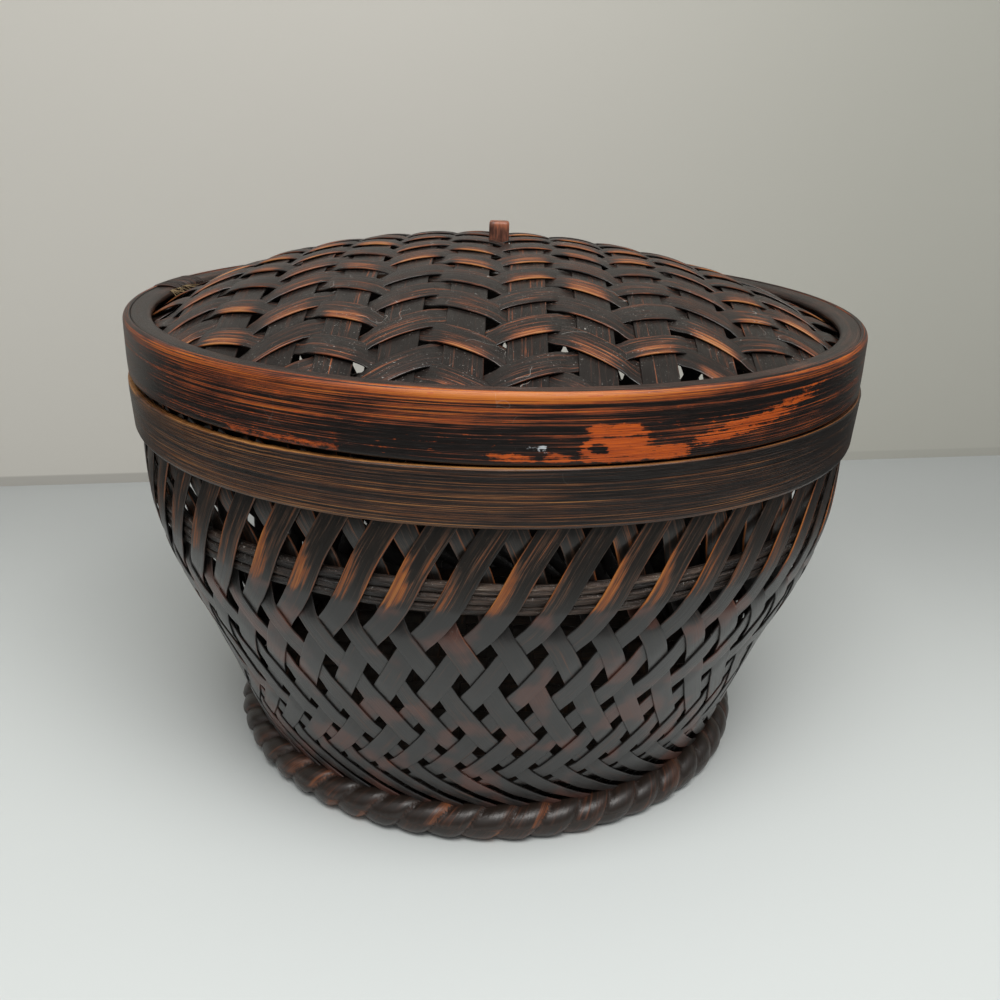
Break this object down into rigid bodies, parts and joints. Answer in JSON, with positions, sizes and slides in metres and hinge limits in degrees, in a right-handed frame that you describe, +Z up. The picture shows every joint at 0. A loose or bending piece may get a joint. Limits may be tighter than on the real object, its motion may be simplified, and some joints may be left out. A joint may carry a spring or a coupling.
{
  "type": "lidded bamboo food basket",
  "caption": "Round basket of split bamboo: an open lattice wall of diagonal strips between a rope foot and a wide hoop, under a shallow woven dome lid that lifts off.",
  "frame": {"origin": "centre of the foot's flat underside", "axes": "+Z up along the basket's axis, -Y towards the front"},
  "size_m": [0.2258, 0.2258, 0.1663],
  "materials": {
    "foot_cane": "brown lacquered cane, worn",
    "brown_bamboo": "brown stained split bamboo",
    "wall_bamboo": "black-brown lacquered split bamboo",
    "ring_cane": "grey-brown bare cane",
    "black_hoop": "black lacquer over red, worn at the edges",
    "lid_bamboo": "black lacquered split bamboo, dusty",
    "red_wood": "red-brown lacquered wood"
  },
  "bodies": {
    "basket": {"foot_rope": "foot_cane", "base_slat_upper": "brown_bamboo", "base_slat_lower": "brown_bamboo", "base_mat": "brown_bamboo", "wall_strips_outer": "wall_bamboo", "wall_strips_inner": "wall_bamboo", "ring_cane_1": "ring_cane", "ring_cane_2": "ring_cane", "ring_cane_3": "ring_cane", "body_outer_hoop": "black_hoop", "body_inner_hoop": "brown_bamboo", "lid_seat_collar": "brown_bamboo"},
    "lid": {"lid_outer_hoop": "black_hoop", "lid_inner_hoop": "brown_bamboo", "lid_rim_strip": "black_hoop", "lid_strips_rising": "lid_bamboo", "lid_strips_straight": "lid_bamboo", "lid_strips_falling": "lid_bamboo", "lid_knob": "red_wood", "knob_washer": "brown_bamboo", "knob_pin": "red_wood"}
  },
  "joints": [
    {"name": "lid_lift", "type": "slide", "parent": "basket", "child": "lid", "axis": [0, 0, 1], "range_m": [0, 0.12]}
  ]
}
